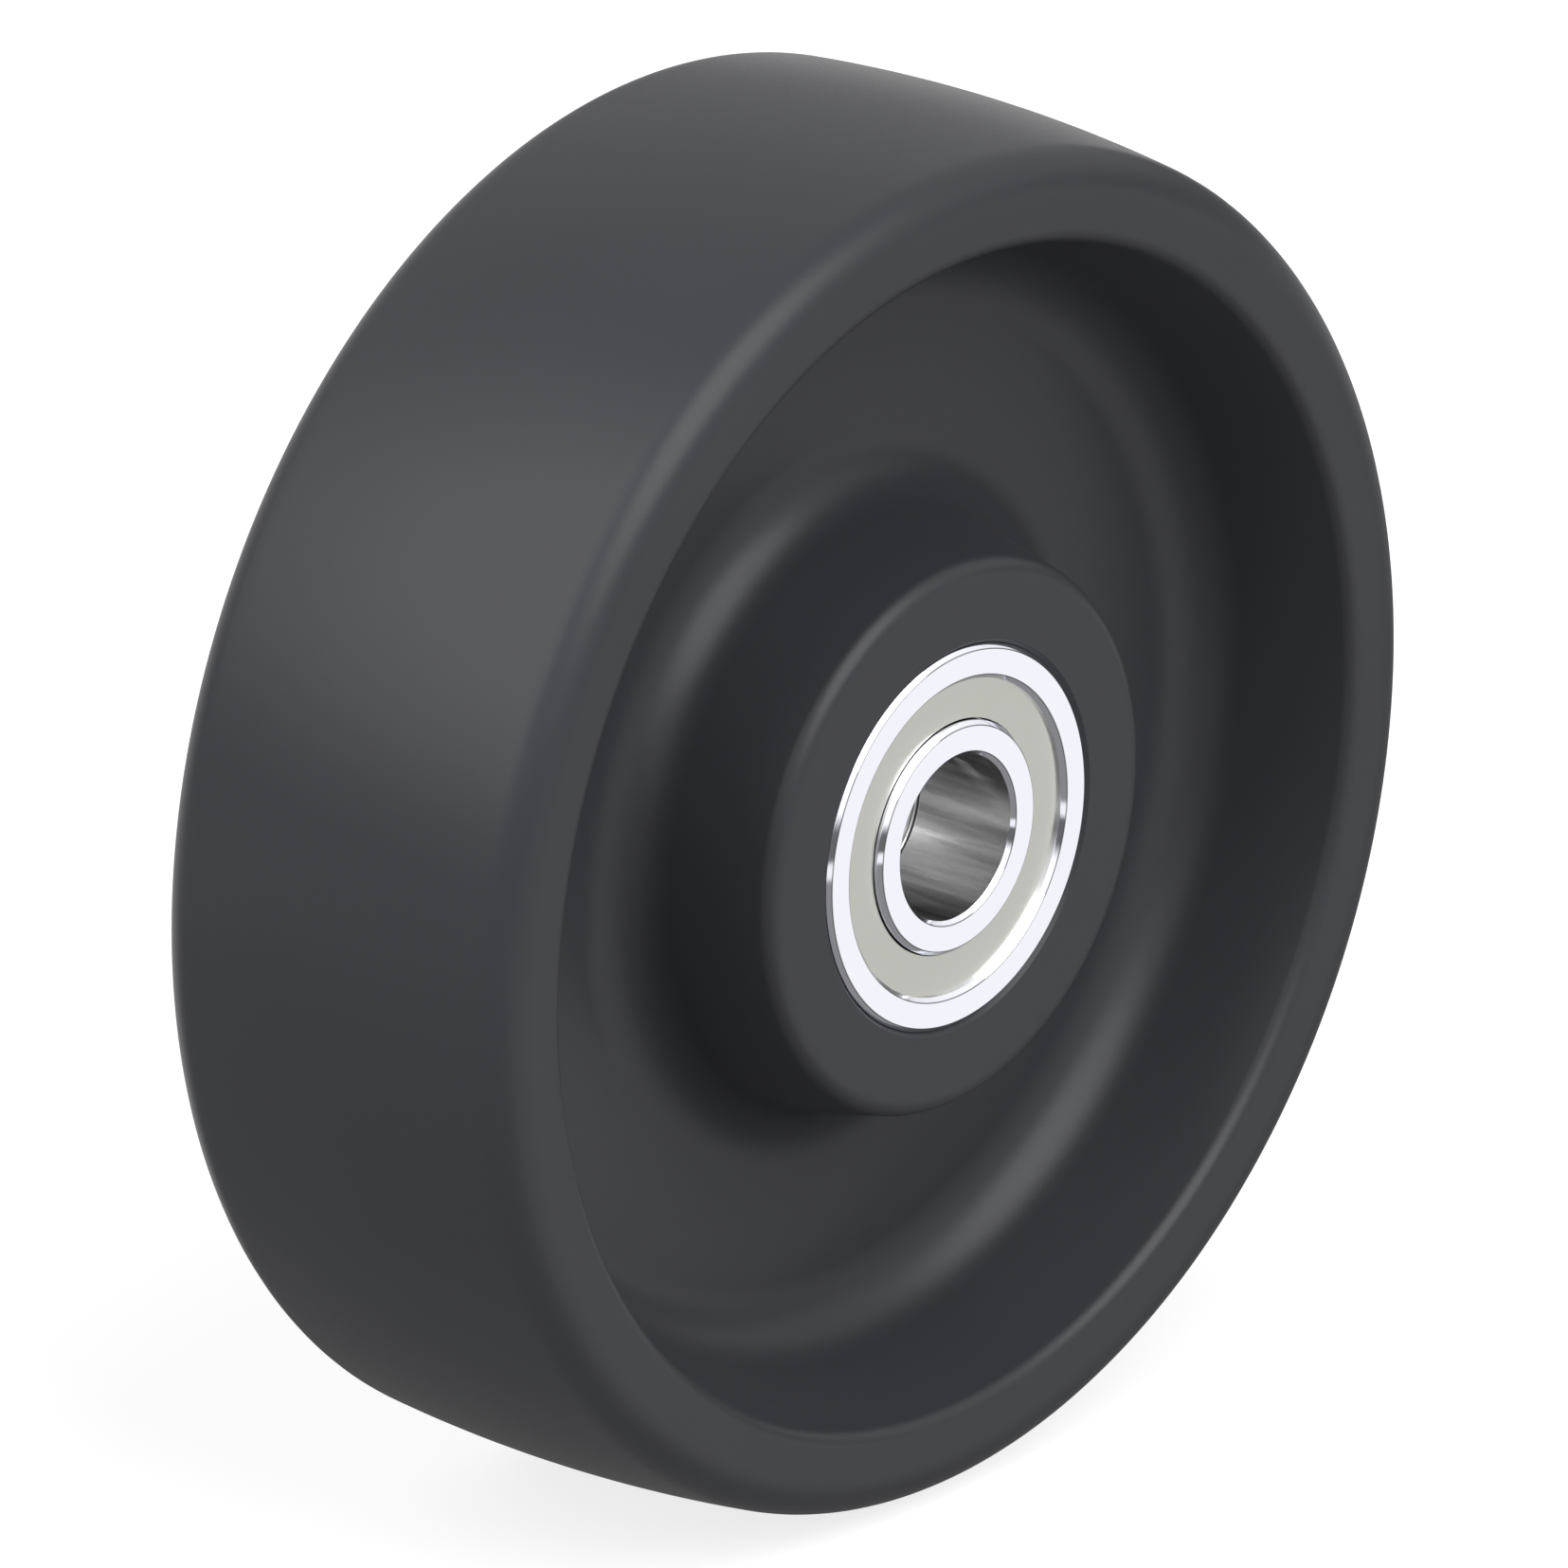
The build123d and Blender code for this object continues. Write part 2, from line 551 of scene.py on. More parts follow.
    def set_round(self, name: str, shape: Mesh, values: Mapping[str, object]) -> Mesh:
        """Sets copies of a shape round the axle line, as one mesh."""
        return self._grow(name, shape, self.circle, values)


# Effects that several finishes share


class Effects:
    """The shader groups, each built once."""

    SPECKLE_FINENESS = 2.7
    # How sharply the painted reflection streaks in a bore turn from dark to light.
    PAINTED_STREAK_CONTRAST = (0.30, 0.70)

    def __init__(self) -> None:
        """Builds the groups."""
        self.axle = self._axle_coordinates()
        self.grain = self._fine_grain()
        self.lines = self._tool_lines()
        self.streaks = self._bore_streaks()
        self.drift = self._colour_drift()

    @staticmethod
    def _axle_coordinates() -> Graph:
        """Builds the group that finds a place's distance, length and angle from the axle line.

        Returns:
            The group.
        """
        graph = Graph.group(
            "axle_coordinates",
            {"Position": "Vector"},
            {"Radius": "Float", "Along": "Float", "Angle": "Float"},
        )
        x, y, z = graph.node("ShaderNodeSeparateXYZ", {0: graph.entry.outputs[0]}).outputs[:3]
        squares = graph.math("ADD", graph.math("MULTIPLY", x, x), graph.math("MULTIPLY", z, z))
        radius, angle = graph.math("SQRT", squares), graph.math("ARCTAN2", z, x)
        graph.wire(graph.exit, {0: radius, 1: y, 2: angle})
        return graph

    def _fine_grain(self) -> Graph:
        """Builds the group for the small uneven grain that a tool or a mould leaves.

        Returns:
            The group. Height is about 0 to 1 over the grain's size, and Speckle is finer.
        """
        graph = Graph.group(
            "fine_grain",
            {"Position": "Vector", "Grain Size": 0.0003, "Detail": 3.0},
            {"Height": "Float", "Speckle": "Float"},
        )
        position, size, detail = graph.entry.outputs[:3]
        scale = graph.math("DIVIDE", 1.0, size)
        fine_scale = graph.math("MULTIPLY", scale, self.SPECKLE_FINENESS)
        height = graph.noise(position, scale, detail)
        speckle = graph.noise(position, fine_scale, detail=1.0)
        graph.wire(graph.exit, {0: height, 1: speckle})
        return graph

    def _tool_lines(self) -> Graph:
        """Builds the group for the fine lines that run round a ground or turned piece.

        Returns:
            The group. Lines runs from 0 to 1 across the lines and hardly changes along them.
        """
        graph = Graph.group(
            "tool_lines",
            {"Position": "Vector", "Spacing": 0.0001, "Wander": 0.4},
            {"Lines": "Float"},
        )
        position, spacing, wander = graph.entry.outputs[:3]
        radius, along, angle = graph.use(self.axle, {"Position": position}).outputs[:3]
        across = graph.out(
            "ShaderNodeCombineXYZ",
            {
                "X": graph.math("DIVIDE", radius, spacing),
                "Y": graph.math("DIVIDE", along, spacing),
                "Z": graph.math("MULTIPLY", angle, wander),
            },
        )
        graph.wire(graph.exit, {0: graph.noise(across, scale=1.0, detail=2.0)})
        return graph

    def _bore_streaks(self) -> Graph:
        """Builds the group for painted reflection streaks that run along a honed or drawn bore.

        Returns:
            The group. Streaks runs from 0 to 1 round the bore and hardly changes along it.
        """
        graph = Graph.group(
            "bore_streaks",
            {"Position": "Vector", "Streaks Round": 4.5, "Stretch": 40.0},
            {"Streaks": "Float"},
        )
        position, count, stretch = graph.entry.outputs[:3]
        _, along, angle = graph.use(self.axle, {"Position": position}).outputs[:3]
        across = graph.polar(count, graph.math("MULTIPLY", along, stretch), angle)
        noise = graph.noise(across, scale=1.0, detail=3.0)
        graph.wire(graph.exit, {0: graph.fade(noise, self.PAINTED_STREAK_CONTRAST, (0.0, 1.0))})
        return graph

    @staticmethod
    def _colour_drift() -> Graph:
        """Builds the group for a colour that isn't quite even.

        Returns:
            The group. Patches are soft and wide, and Speckle adds fine light and dark points.
        """
        graph = Graph.group(
            "colour_drift",
            {
                "Position": "Vector",
                "Colour": (0.5, 0.5, 0.5, 1.0),
                "Patch Size": 0.02,
                "Patch Amount": 0.05,
                "Speckle": 0.5,
                "Speckle Amount": 0.05,
            },
            {"Colour": "Color"},
        )
        position, colour, size, amount, speckle, speckle_amount = graph.entry.outputs[:6]
        patches = graph.noise(position, graph.math("DIVIDE", 1.0, size), detail=2.0)
        patch, point = graph.stray(patches, amount), graph.stray(speckle, speckle_amount)
        level = graph.math("ADD", graph.math("ADD", patch, point), 1.0)
        scaled = {0: colour, "Scale": level}
        graph.wire(graph.exit, {0: graph.out("ShaderNodeVectorMath", scaled, operation="SCALE")})
        return graph


@dataclass
class Surface:
    """A material in the making.

    Attributes:
        graph: Its graph.
        effects: The shared shader groups.
        position: The place on the piece.
        shader: Its shader, already wired.
    """

    graph: Graph
    effects: Effects
    position: Socket
    shader: Node

    # Where a Mix node has its two colours and what they make.
    MIX_FROM, MIX_TO, MIX_RESULT = 6, 7, 2

    def radius(self) -> Socket:
        """Adds the distance from the axle line."""
        return self.graph.use(self.effects.axle, {"Position": self.position}).outputs["Radius"]

    def blend(self, mask: Socket, level: Signal, roughness: float) -> None:
        """Blends the colour towards a grey, and roughens it, where a mask says so.

        Args:
            mask: Where, from 0 to 1.
            level: The grey.
            roughness: How much roughness is added.
        """
        graph, inputs = self.graph, self.shader.inputs
        colour, rough = (inputs[name].links[0].from_socket for name in ("Base Color", "Roughness"))
        mixed = graph.node("ShaderNodeMix", data_type="RGBA")
        graph.wire(mixed, {0: mask, self.MIX_FROM: colour, self.MIX_TO: graph.grey(level)})
        rougher = graph.math("ADD", rough, graph.math("MULTIPLY", mask, roughness))
        result = mixed.outputs[self.MIX_RESULT]
        graph.wire(self.shader, {"Base Color": result, "Roughness": rougher})


@dataclass(frozen=True)
class Finish:
    """What every finish of the wheel has in common.

    Attributes:
        name: The material's name.
        colour: Its colour, linear.
        roughness: Its middle roughness.
        roughness_spread: How far the roughness strays over the grain.
        grain_size: The size of the surface's grain, in metres.
        grain_depth: How deep the grain is, in metres.
        patch_amount: How far the colour drifts over wide patches, as a share.
        speckle_amount: How far it strays from point to point, as a share.
        line_spacing: The spacing of the lines that run round the piece, in metres.
        line_share: How high those lines are, as a share of the grain.
    """

    name: str
    colour: Colour
    roughness: float
    roughness_spread: float
    grain_size: float
    grain_depth: float
    patch_amount: float
    speckle_amount: float
    line_spacing: float = 0.00012
    line_share: float = 1.0

    PATCH_SIZE = 0.018

    def material(self, effects: Effects) -> Material:
        """Builds the material.

        Args:
            effects: The shared shader groups.

        Returns:
            The material.
        """
        material = bpy.data.materials.new(self.name)
        graph = Graph.within(material)
        material.diffuse_color = (*self.colour, 1.0)
        position = graph.node("ShaderNodeTexCoord").outputs["Object"]
        grain = graph.use(effects.grain, {"Position": position, "Grain Size": self.grain_size})
        height, speckle = grain.outputs[:2]
        colour = graph.use(
            effects.drift,
            {
                "Position": position,
                "Colour": (*self.colour, 1.0),
                "Patch Size": self.PATCH_SIZE,
                "Patch Amount": self.patch_amount,
                "Speckle": speckle,
                "Speckle Amount": self.speckle_amount,
            },
        ).outputs[0]
        stray = graph.stray(height, self.roughness_spread)
        spacing = {"Position": position, "Spacing": self.line_spacing}
        lines = graph.use(effects.lines, spacing).outputs[0]
        relief = graph.math("ADD", height, graph.math("MULTIPLY", lines, self.line_share))
        bump = {"Strength": 1.0, "Distance": self.grain_depth, "Height": relief}
        shader = graph.node(
            "ShaderNodeBsdfPrincipled",
            {
                "Base Color": colour,
                "Roughness": graph.math("ADD", stray, self.roughness),
                "Normal": graph.out("ShaderNodeBump", bump),
            },
        )
        graph.node("ShaderNodeOutputMaterial", {"Surface": shader.outputs[0]})
        self._complete(Surface(graph, effects, position, shader))
        return material

    def _complete(self, surface: Surface) -> None:
        """Adds what only this kind of finish has."""
        raise NotImplementedError


@dataclass(frozen=True)
class MouldedPlastic(Finish):
    """Satin plastic as it comes out of a turned mould.

    Attributes:
        sheen_level: The strength of its mirror part, where 0.5 is plain plastic.
    """

    line_spacing: float = 0.0006
    line_share: float = 0.35
    sheen_level: float = 0.234

    def _complete(self, surface: Surface) -> None:
        """Sets the strength of its mirror part."""
        surface.graph.wire(surface.shader, {"Specular IOR Level": self.sheen_level})


@dataclass(frozen=True)
class BoreRoughnessAndPaintedStreaks:
    """How the inside of a steel ring or tube differs: rougher, with painted reflection streaks.

    Attributes:
        within: The distance from the axle line that it reaches to, in metres.
        painted_shades: How bright the painted dark and light streaks are, as shares of its colour.
        roughness: How much rougher it is.
    """

    within: float
    painted_shades: Span
    roughness: float

    FADE = 0.00003

    def dress(self, surface: Surface, colour: Colour) -> None:
        """Roughens the steel by the axle line and paints in grey reflection streaks along the
        bore.

        Args:
            surface: The steel's material in the making.
            colour: The steel's colour.
        """
        graph = surface.graph
        inside = graph.fade(surface.radius(), (self.within, self.within + self.FADE), (1.0, 0.0))
        streaks = graph.use(surface.effects.streaks, {"Position": surface.position}).outputs[0]
        middle = sum(colour) / len(colour)
        dark, light = (middle * shade for shade in self.painted_shades)
        # Painted reflections: the bore's grey goes from a dark to a light shade over the streaks.
        level = graph.fade(streaks, (0.0, 1.0), (dark, light))
        surface.blend(inside, level, self.roughness)


@dataclass(frozen=True)
class Steel(Finish):
    """Steel that was ground, drawn or pressed.

    Attributes:
        metallic: How much of the surface is bare metal.
        bore: Its bore's roughness and painted reflection streaks, or None where that's no
            different.
        edges: Radii from the axle line where a ground face ends in a painted dark reflection line.
        painted_edge_width: Half the width of those painted lines, in metres.
        painted_edge_shade: How bright the painted lines are, from 0 to 1.
    """

    metallic: float = 1.0
    bore: BoreRoughnessAndPaintedStreaks | None = None
    edges: tuple[float, ...] = ()
    painted_edge_width: float = 0.00007
    painted_edge_shade: float = 0.25

    def _complete(self, surface: Surface) -> None:
        """Makes it metal, and paints reflections into its bore and edges where it has them.

        Args:
            surface: The material in the making.
        """
        graph = surface.graph
        graph.wire(surface.shader, {"Metallic": self.metallic})
        # Rougher steel in the bore, painted with dark and light streaks that stand in for its
        # reflections.
        if self.bore:
            self.bore.dress(surface, self.colour)
        if self.edges:
            # Painted dark lines where the ground faces end, standing in for the dark reflection in
            # each small rounding.
            radius = surface.radius()
            lines: Signal = 0.0
            for edge in self.edges:
                off = graph.math("ABSOLUTE", graph.math("SUBTRACT", radius, edge))
                line = graph.fade(off, (self.painted_edge_width / 2, self.painted_edge_width), (1.0, 0.0))
                lines = graph.math("MAXIMUM", line, lines)
            surface.blend(lines, self.painted_edge_shade, 0.0)


FINISHES: dict[Slot, Finish] = {
    Slot.POLYAMIDE: MouldedPlastic(
        name="dark_grey_plastic",
        colour=(0.0293, 0.0302, 0.0338),
        roughness=0.369,
        roughness_spread=0.10,
        grain_size=0.00035,
        grain_depth=0.0000016,
        patch_amount=0.10,
        speckle_amount=0.10,
    ),
    Slot.RING_STEEL: Steel(
        name="ground_bearing_steel",
        colour=(0.89, 0.895, 0.97),
        roughness=0.07,
        roughness_spread=0.03,
        grain_size=0.00006,
        grain_depth=0.0000002,
        patch_amount=0.02,
        speckle_amount=0.02,
        # The bore has painted reflection streaks.
        bore=BoreRoughnessAndPaintedStreaks(within=0.00752, painted_shades=(0.58, 1.00), roughness=0.14),
        # Each ground face ends in a painted dark reflection line at these radii.
        edges=(0.0079, 0.0102, 0.0148, 0.0171),
    ),
    Slot.BALL_STEEL: Steel(
        name="polished_ball_steel",
        colour=(0.86, 0.86, 0.87),
        roughness=0.06,
        roughness_spread=0.02,
        grain_size=0.00010,
        grain_depth=0.0000001,
        patch_amount=0.02,
        speckle_amount=0.0,
    ),
    Slot.SHIELD_STEEL: Steel(
        name="matt_shield_steel",
        colour=(0.60, 0.605, 0.555),
        roughness=0.32,
        roughness_spread=0.08,
        grain_size=0.00012,
        grain_depth=0.0000010,
        patch_amount=0.04,
        speckle_amount=0.04,
    ),
    Slot.CAGE_STEEL: Steel(
        name="pressed_cage_steel",
        colour=(0.50, 0.50, 0.50),
        roughness=0.38,
        roughness_spread=0.08,
        grain_size=0.00015,
        grain_depth=0.0000020,
        patch_amount=0.06,
        speckle_amount=0.05,
    ),
    Slot.SPACER_STEEL: Steel(
        name="drawn_tube_steel",
        colour=(0.70, 0.70, 0.71),
        roughness=0.26,
        roughness_spread=0.06,
        grain_size=0.00012,
        grain_depth=0.0000010,
        patch_amount=0.06,
        speckle_amount=0.04,
        # The bore has painted reflection streaks.
        bore=BoreRoughnessAndPaintedStreaks(within=0.00762, painted_shades=(0.74, 1.25), roughness=0.0),
    ),
}


# Sub-assemblies


@dataclass
class Assembly:
    """A sub-assembly of the wheel, with what it needs to build and dress its pieces.

    Attributes:
        workshop: Makes its meshes.
        materials: Its materials, by the record's slots.
    """

    workshop: Workshop
    materials: Mapping[Slot, Material]

    def show(self, mesh: Mesh, body: str, slot: Slot, *nodes: str) -> None:
        """Puts a finished mesh in the scene, in place of the solids that it stands for.

        Args:
            mesh: The piece's mesh, in place.
            body: The body that it moves with.
            slot: The record's slot that its finish comes from. Not used.
            nodes: The solids that it replaces.
        """
        piece = bpy.data.objects.new(mesh.name, mesh)
        bpy.context.scene.collection.objects.link(piece)
        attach(piece, body)
        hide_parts(*nodes)
        LOG.info("%s: %d faces, rides on %s", piece.name, len(mesh.polygons), body)

    def turn(
        self,
        name: str,
        section: Section,
        body: Body,
        slot: Slot,
        node: str,
        steps: int = STEPS_ROUND,
    ) -> None:
        """Turns a piece and puts it in the scene.

        Args:
            name: The piece's name.
            section: The outline to spin.
            body: The body that it moves with.
            slot: The record's slot that its finish comes from.
            node: The solid that it replaces.
            steps: How many steps go round.
        """
        mesh = self.workshop.turn(name, section, self.materials[slot], steps)
        self.show(mesh, body.value, slot, node)


@dataclass
class WheelMoulding(Assembly):
    """The plastic moulding: tread, rim, web and boss. Lengths are in metres."""

    crown_radius: float = 0.150
    shoulder_radius: float = 0.004
    rim_thickness: float = 0.00875
    rim_wall_draft: float = math.radians(17)
    rim_lip_radius: float = 0.0015
    rim_root_radius: float = 0.0065
    web_thickness: float = 0.010
    boss_wall_thickness: float = 0.0075
    boss_wall_draft: float = math.radians(12.5)
    boss_edge_radius: float = 0.0018
    boss_root_radius: float = 0.006
    boss_setback: float = 0.0001
    seat_chamfer: float = 0.00045
    seat_shoulder_height: float = 0.0025
    seat_edge_rounding: float = 0.00006
    crown_steps: int = 16
    steps_round: int = 288

    def _section(self) -> Section:
        """Draws the moulding's section.

        Returns:
            The whole section, from its half behind the middle plane.
        """
        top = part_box("wheel_body")[1]
        tread_radius, half_width = top.z, top.y
        ring_low, ring_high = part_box(f"{End.REAR.label}_outer_ring")
        seat_radius, seat_floor = ring_high.z, ring_low.y
        hole_radius = seat_radius - self.seat_shoulder_height
        half_web = self.web_thickness / 2
        boss_face = half_width - self.boss_setback
        boss_radius = seat_radius + self.boss_wall_thickness
        boss_foot = boss_radius + (boss_face - half_web) * math.tan(self.boss_wall_draft)
        rim_mouth = tread_radius - self.rim_thickness
        rim_foot = rim_mouth - (half_width - half_web) * math.tan(self.rim_wall_draft)
        crown_centre = tread_radius - self.crown_radius
        shoulder_along = half_width - self.shoulder_radius
        inner_crown = self.crown_radius - self.shoulder_radius
        shoulder_centre = crown_centre + math.sqrt(inner_crown**2 - shoulder_along**2)
        tangent = math.atan2(shoulder_along, shoulder_centre - crown_centre)
        crown = Section.arc((crown_centre, 0), self.crown_radius, 0, tangent, self.crown_steps)
        shoulder = Section.arc(
            (shoulder_centre, shoulder_along), self.shoulder_radius, tangent, math.pi / 2
        )
        return Section.symmetric(
            [
                *(Corner(*point) for point in crown[:-1] + shoulder),
                Corner(shoulder_centre - Section.EDGE_SUPPORT, half_width),
                Corner(rim_mouth, half_width, self.rim_lip_radius),
                Corner(rim_foot, half_web, self.rim_root_radius),
                Corner(boss_foot, half_web, self.boss_root_radius),
                Corner(boss_radius, boss_face, self.boss_edge_radius),
                Corner(seat_radius, boss_face, self.seat_edge_rounding, self.seat_chamfer),
                Corner(seat_radius, seat_floor),
                Corner(hole_radius, seat_floor),
                Corner(hole_radius, 0),
            ]
        )

    def build(self) -> None:
        """Builds the moulding and puts it on its body."""
        kind = (Body.WHEEL, Slot.POLYAMIDE, "wheel_body")
        self.turn("wheel_moulding", self._section(), *kind, self.steps_round)


@dataclass
class BallBearing(Assembly):
    """A shielded ball bearing at one end of the hub. Lengths are in metres.

    Attributes:
        end: The end of the hub that it sits in.
    """

    end: End = End.FRONT
    ring_chamfer: float = 0.0004
    ring_edge_rounding: float = 0.00010
    land_spacing: float = 0.0038
    race_curvature: float = 0.525
    ball_clearance: float = 0.00005
    ball_count: int = 8
    ball_steps: int = 64
    shield_recess: float = 0.0007
    shield_thickness: float = 0.00035
    shield_groove_depth: float = 0.00035
    shield_groove_width: float = 0.0010
    shield_running_gap: float = 0.0001
    shield_bend_radius: float = 0.00015
    shield_edge_rounding: float = 0.0000875
    cage_thickness: float = 0.0004
    rivet_radius: float = 0.0004
    rivet_head_radius: float = 0.00075
    rivet_head_height: float = 0.00035
    rivet_head_rounding: float = 0.000245
    rivet_steps: int = 24

    def __post_init__(self) -> None:
        """Reads the bearing's place and main sizes from the frame."""
        low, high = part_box(f"{self.end.label}_outer_ring")
        self.outer_radius = high.z
        self.centre = (low.y + high.y) / 2
        self.half_width = (high.y - low.y) / 2
        bore = next(m for m in frame["record"]["mounts"] if m["kind"] == "bore")
        self.bore_radius = bore["dims"]["r_mm"] / 1000
        ball_low, ball_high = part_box(f"{self.end.label}_ball_1")
        self.ball_radius = (ball_high.z - ball_low.z) / 2
        self.pitch_radius = (self.bore_radius + self.outer_radius) / 2
        self.inner_land = self.pitch_radius - self.land_spacing / 2
        self.outer_land = self.pitch_radius + self.land_spacing / 2
        self.race_radius = 2 * self.ball_radius * self.race_curvature

    def _race(self, land: float, side: int) -> list[Corner]:
        """Draws a ball race across a ring's land.

        Args:
            land: The radius of the land that it is cut into.
            side: 1 for a race in the outer ring, or -1 for one in the inner ring.

        Returns:
            The race's points, from the side of higher places along the axle to the other.
        """
        shift = self.race_radius - self.ball_radius - self.ball_clearance
        centre = self.pitch_radius - side * shift
        half_angle = math.acos(abs(land - centre) / self.race_radius)
        arc = Section.arc((centre, 0), self.race_radius, half_angle, -half_angle)
        return [Corner(centre + side * (radius - centre), along) for radius, along in arc]

    def _ring_corner(self, radius: float) -> Corner:
        """Draws the bevelled corner between a ring's face and one of its cylinders."""
        return Corner(radius, self.half_width, self.ring_edge_rounding, self.ring_chamfer)

    def _outer_ring_section(self) -> Section:
        """Draws the outer ring, with its race and the two grooves for the shields.

        Returns:
            The section, about the bearing's middle.
        """
        land = self.outer_land
        groove = land + self.shield_groove_depth
        lip = self.half_width - self.shield_recess
        floor = lip - self.shield_groove_width
        half = [
            self._ring_corner(self.outer_radius),
            self._ring_corner(land),
            Corner(land, lip),
            Corner(groove, lip),
            Corner(groove, floor),
            Corner(land, floor),
        ]
        return Section.symmetric(half, self._race(land, side=1))

    def _inner_ring_section(self) -> Section:
        """Draws the inner ring, with its race."""
        half = [self._ring_corner(self.bore_radius), self._ring_corner(self.inner_land)]
        return Section.symmetric(half, self._race(self.inner_land, side=-1))

    def _shield_section(self) -> Section:
        """Draws the shield on the side of higher places, with its rim bent into the groove.

        Returns:
            The section, from the bearing's middle.
        """
        face = self.half_width - self.shield_recess
        back = face - self.shield_thickness
        rim_end = face - self.shield_groove_width
        outer = self.outer_land + self.shield_groove_depth
        inner = self.inner_land + self.shield_running_gap
        return Section.rounded(
            [
                Corner(inner, face, self.shield_edge_rounding),
                Corner(outer, face),
                Corner(outer, rim_end),
                Corner(outer - self.shield_thickness, rim_end),
                Corner(outer - self.shield_thickness, back, self.shield_bend_radius),
                Corner(inner, back, self.shield_edge_rounding),
            ]
        )

    def _set_round(self, name: str, blank: Mesh, slot: Slot, first: float, copies: int) -> Mesh:
        """Sets copies of a blank at their places on the pitch circle.

        Args:
            name: The name of the mesh that is made.
            blank: One copy, about the origin.
            slot: The record's slot that its finish comes from.
            first: The first place, which may lie between two.
            copies: How many places are filled.

        Returns:
            All the copies as one mesh.
        """
        values = {
            "Circle Radius": self.pitch_radius,
            "Along Axle": self.centre,
            "Places": self.ball_count,
            "First Place": first,
            "Copies": copies,
            "Material": self.materials[slot],
        }
        return self.workshop.set_round(name, blank, values)

    def _build_rings(self) -> None:
        """Builds the two rings."""
        rings = (
            ("outer_ring", self._outer_ring_section(), Body.WHEEL),
            ("inner_ring", self._inner_ring_section(), Body.AXLE_STACK),
        )
        for part, section, body in rings:
            name, node = f"{self.end.label}_bearing_{part}", f"{self.end.label}_{part}"
            self.turn(name, section.moved(self.centre), body, Slot.RING_STEEL, node)

    def _build_shields(self) -> None:
        """Builds the shield on each side."""
        for place in Place:
            part = f"{place.label}_shield"
            name, node = f"{self.end.label}_bearing_{part}", f"{self.end.label}_{part}"
            section = self._shield_section().moved(self.centre, self.end.value * place.value)
            self.turn(name, section, Body.WHEEL, Slot.SHIELD_STEEL, node)

    def _build_balls(self) -> None:
        """Builds each ball at its place on the pitch circle, on its own body."""
        slot = Slot.BALL_STEEL
        quarter = math.pi / 2
        outline = Section(Section.arc((0, 0), self.ball_radius, -quarter, quarter), closed=False)
        for number in range(self.ball_count):
            part = f"ball_{number + 1}"
            node, name = f"{self.end.label}_{part}", f"{self.end.label}_bearing_{part}"
            blank = self.workshop.turn(
                f"{node}_blank", outline, self.materials[slot], self.ball_steps
            )
            ball = self._set_round(name, blank, slot, first=float(number), copies=1)
            self.show(ball, node, slot, node)

    def _build_cage(self) -> None:
        """Dresses the two cage halves and builds the rivets that clamp them."""
        slot = Slot.CAGE_STEEL
        steel = self.materials[slot]
        for place in Place:
            half = frame["nodes"][f"{self.end.label}_cage_{place.label}_half"]
            half.data.materials.clear()
            half.data.materials.append(steel)
            LOG.info("%s: dressed as it is", half.name)
        top = self.cage_thickness + self.rivet_head_height
        outline = Section.symmetric(
            [
                Corner(0, top),
                Corner(self.rivet_head_radius, top, self.rivet_head_rounding),
                Corner(self.rivet_head_radius, self.cage_thickness),
                Corner(self.rivet_radius, self.cage_thickness),
            ],
            closed=False,
        )
        label = self.end.label
        rivet = self.workshop.turn(f"{label}_rivet_blank", outline, steel, self.rivet_steps)
        name = f"{label}_bearing_cage_rivets"
        mesh = self._set_round(name, rivet, slot, first=0.5, copies=self.ball_count)
        self.show(mesh, Body(f"{label}_cage").value, slot, f"{label}_cage_rivets")

    def build(self) -> None:
        """Builds the bearing's pieces."""
        self._build_rings()
        self._build_shields()
        self._build_balls()
        self._build_cage()


@dataclass
class SpacerTube(Assembly):
    """The tube that keeps the two inner rings apart. Lengths are in metres."""

    wall: float = 0.0024
    edge_rounding: float = 0.0003
    steps_round: int = 128

    def build(self) -> None:
        """Builds the tube and puts it on the axle."""
        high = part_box("spacer_tube")[1]
        radii = (high.z - self.wall, high.z)
        section = Section.symmetric([Corner(r, high.y, self.edge_rounding) for r in radii])
        kind = (Body.AXLE_STACK, Slot.SPACER_STEEL, "spacer_tube")
        self.turn("axle_spacer_tube", section, *kind, self.steps_round)


# Studio


@dataclass(frozen=True)
class Lamp:
    """A wide soft lamp, so far off that it lights the whole floor alike.

    Attributes:
        name: What it is called.
        towards: The direction from the wheel to the lamp.
        strength: Its strength.
        spread: The angle that it fills, in degrees.
    """

    name: str
    towards: Direction
    strength: float
    spread: float

    def build(self) -> None:
        """Hangs the lamp."""
        data = bpy.data.lights.new(self.name, "SUN")
        data.energy = self.strength
        data.angle = math.radians(self.spread)
        lamp = bpy.data.objects.new(self.name, data)
        lamp.rotation_euler = Vector(self.towards).to_track_quat("Z", "Y").to_euler()
        bpy.context.scene.collection.objects.link(lamp)


@dataclass(frozen=True)
class Sky:
    """Light from all round that grows evenly towards one side.

    Attributes:
        level: How bright it is on average.
        slope: How much it grows from the middle to each of +X, +Y and +Z.
    """

    level: float
    slope: Direction

    def along(self, graph: Graph, way: Socket) -> Socket:
        """Adds the nodes that give its brightness in a direction."""
        up = graph.node("ShaderNodeVectorMath", {0: way, 1: self.slope}, operation="DOT_PRODUCT")
        return graph.math("MAXIMUM", graph.math("ADD", up.outputs["Value"], self.level), 0.0)


@dataclass(frozen=True)
class Patch:
    """A round patch of light with a soft edge, far off.

    Attributes:
        towards: The direction of its middle.
        reach: How far from that direction it is full and where it ends.
    """

    towards: Direction
    reach: Span

    def along(self, graph: Graph, way: Socket) -> Socket:
        """Adds the nodes that give its brightness in a direction, from 0 to 1."""
        off = graph.node("ShaderNodeVectorMath", {0: way, 1: self.towards}, operation="DISTANCE")
        return graph.fade(off.outputs["Value"], self.reach, (1.0, 0.0))


